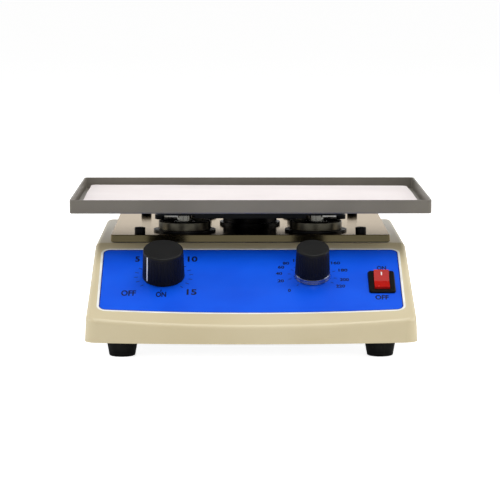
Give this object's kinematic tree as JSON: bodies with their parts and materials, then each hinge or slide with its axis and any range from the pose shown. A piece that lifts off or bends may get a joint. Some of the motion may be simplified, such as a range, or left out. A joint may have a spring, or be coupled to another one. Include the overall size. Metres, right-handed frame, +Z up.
{
  "type": "orbital shaker",
  "caption": "Bench orbital shaker: a sloped moulded housing with a timer, a speed knob and a rocker switch, and a flat matted tray carried on crank discs above a bright deck.",
  "frame": {"origin": "middle of the shaker's outline from above, on the surface that its feet stand on", "axes": "+X to the right seen from the front, +Y to the back, +Z up; the control face slopes down to -Y and the tray rests at the front of its orbit"},
  "size_m": [0.33, 0.3468, 0.1299],
  "materials": {
    "cream_housing": "satin moulded ABS",
    "pan_steel": "bare steel sheet",
    "foot_rubber": "matt moulded rubber",
    "blue_panel": "printed polyester overlay",
    "knob_black": "satin moulded phenolic",
    "pointer_white": "filled line",
    "knob_ring": "turned",
    "steel": "ground steel",
    "bearing_steel": "polished bearing steel",
    "zinc": "bright zinc plate",
    "black_screws": "black oxide",
    "deck_metal": "polished sheet",
    "dark_rubber": "moulded rubber",
    "black_anodised": "black anodised",
    "pulley_metal": "turned",
    "cast_weight": "as cast",
    "tray_grey": "satin grey enamel",
    "white_mat": "matt ribbed",
    "motor_paint": "satin",
    "board_green": "solder mask",
    "case_plastic": "moulded nylon",
    "pot_metal": "plated case",
    "switch_black": "moulded",
    "rocker_red": "moulded, clear red",
    "inlet_black": "moulded",
    "pin_brass": "nickelled brass",
    "fuse_glass": "clear"
  },
  "bodies": {
    "housing": {"housing_shell": "cream_housing", "bottom_pan": "pan_steel", "housing_screws": "black_screws", "foot_front_left": "foot_rubber", "foot_front_right": "foot_rubber", "foot_rear_left": "foot_rubber", "foot_rear_right": "foot_rubber", "foot_screws": "zinc", "control_panel": "blue_panel", "deck_gasket": "dark_rubber", "deck_plate": "deck_metal", "deck_screws": "black_screws", "crank_hub_front_left": "black_anodised", "crank_hub_front_right": "black_anodised", "crank_hub_rear_left": "black_anodised", "crank_hub_rear_right": "black_anodised", "drive_hub": "black_anodised", "spindle_bearings": "bearing_steel", "hub_ring_nuts": "zinc", "motor_bracket": "pan_steel", "motor_body": "motor_paint", "motor_screws": "black_screws", "drive_belt": "dark_rubber", "control_board": "board_green", "board_standoffs": "zinc", "timer_body": "case_plastic", "speed_pot": "pot_metal", "panel_nuts": "zinc", "switch_body": "switch_black", "inlet_body": "inlet_black", "inlet_pins": "pin_brass"},
    "drive": {"drive_rotor": "black_anodised", "drive_spindle": "steel", "drive_pulley": "pulley_metal", "counterweight": "cast_weight"},
    "platform": {"carrier_plate": "black_anodised", "carrier_bearings": "bearing_steel", "bearing_keepers": "zinc", "carrier_screws": "black_screws", "tray": "tray_grey", "tray_mat": "white_mat"},
    "motor_rotor": {"motor_shaft": "steel", "motor_pulley": "pulley_metal"},
    "timer_control": {"timer_knob": "knob_black", "timer_pointer": "pointer_white", "timer_shaft": "steel"},
    "speed_control": {"speed_knob": "knob_black", "speed_ring": "knob_ring", "speed_shaft": "steel"},
    "switch_rocker": {"rocker": "rocker_red"},
    "drawer": {"fuse_drawer": "inlet_black", "fuse": "fuse_glass"},
    "crank_front_left": {"crank_disc_front_left": "black_anodised", "crank_pin_front_left": "steel"},
    "crank_front_right": {"crank_disc_front_right": "black_anodised", "crank_pin_front_right": "steel"},
    "crank_rear_left": {"crank_disc_rear_left": "black_anodised", "crank_pin_rear_left": "steel"},
    "crank_rear_right": {"crank_disc_rear_right": "black_anodised", "crank_pin_rear_right": "steel"}
  },
  "joints": [
    {"name": "drive_spin", "type": "hinge", "parent": "housing", "child": "drive", "pos_m": [0, 0.0535, 0.09], "axis": [0, 0, 1], "continuous": true},
    {"name": "platform_turn", "type": "hinge", "parent": "drive", "child": "platform", "pos_m": [0, 0.044, 0.1142], "axis": [0, 0, 1], "continuous": true},
    {"name": "crank_spin_front_left", "type": "hinge", "parent": "housing", "child": "crank_front_left", "pos_m": [-0.0615, -0.0043, 0.09], "axis": [0, 0, 1], "continuous": true},
    {"name": "crank_spin_front_right", "type": "hinge", "parent": "housing", "child": "crank_front_right", "pos_m": [0.0615, -0.0043, 0.09], "axis": [0, 0, 1], "continuous": true},
    {"name": "crank_spin_rear_left", "type": "hinge", "parent": "housing", "child": "crank_rear_left", "pos_m": [-0.0615, 0.1113, 0.09], "axis": [0, 0, 1], "continuous": true},
    {"name": "crank_spin_rear_right", "type": "hinge", "parent": "housing", "child": "crank_rear_right", "pos_m": [0.0615, 0.1113, 0.09], "axis": [0, 0, 1], "continuous": true},
    {"name": "motor_spin", "type": "hinge", "parent": "housing", "child": "motor_rotor", "pos_m": [0, -0.0265, 0.05], "axis": [0, 0, 1], "continuous": true},
    {"name": "timer_turn", "type": "hinge", "parent": "housing", "child": "timer_control", "pos_m": [-0.0788, -0.09532, 0.06358], "axis": [0, -0.4067, 0.9135], "range_deg": [-268, 46]},
    {"name": "speed_turn", "type": "hinge", "parent": "housing", "child": "speed_control", "pos_m": [0.0556, -0.09532, 0.06358], "axis": [0, -0.4067, 0.9135], "range_deg": [-262, 0]},
    {"name": "switch_rock", "type": "hinge", "parent": "housing", "child": "switch_rocker", "pos_m": [0.1176, -0.10529, 0.05772], "axis": [1, 0, 0], "range_deg": [-16, 0]},
    {"name": "drawer_slide", "type": "slide", "parent": "housing", "child": "drawer", "axis": [0, 1, 0], "range_m": [0, 0.02]}
  ],
  "couplings": [
    {"joint": "platform_turn", "follows": "drive_spin", "ratio": -1},
    {"joint": "crank_spin_front_left", "follows": "drive_spin", "ratio": 1},
    {"joint": "crank_spin_front_right", "follows": "drive_spin", "ratio": 1},
    {"joint": "crank_spin_rear_left", "follows": "drive_spin", "ratio": 1},
    {"joint": "crank_spin_rear_right", "follows": "drive_spin", "ratio": 1},
    {"joint": "motor_spin", "follows": "drive_spin", "ratio": 4}
  ]
}
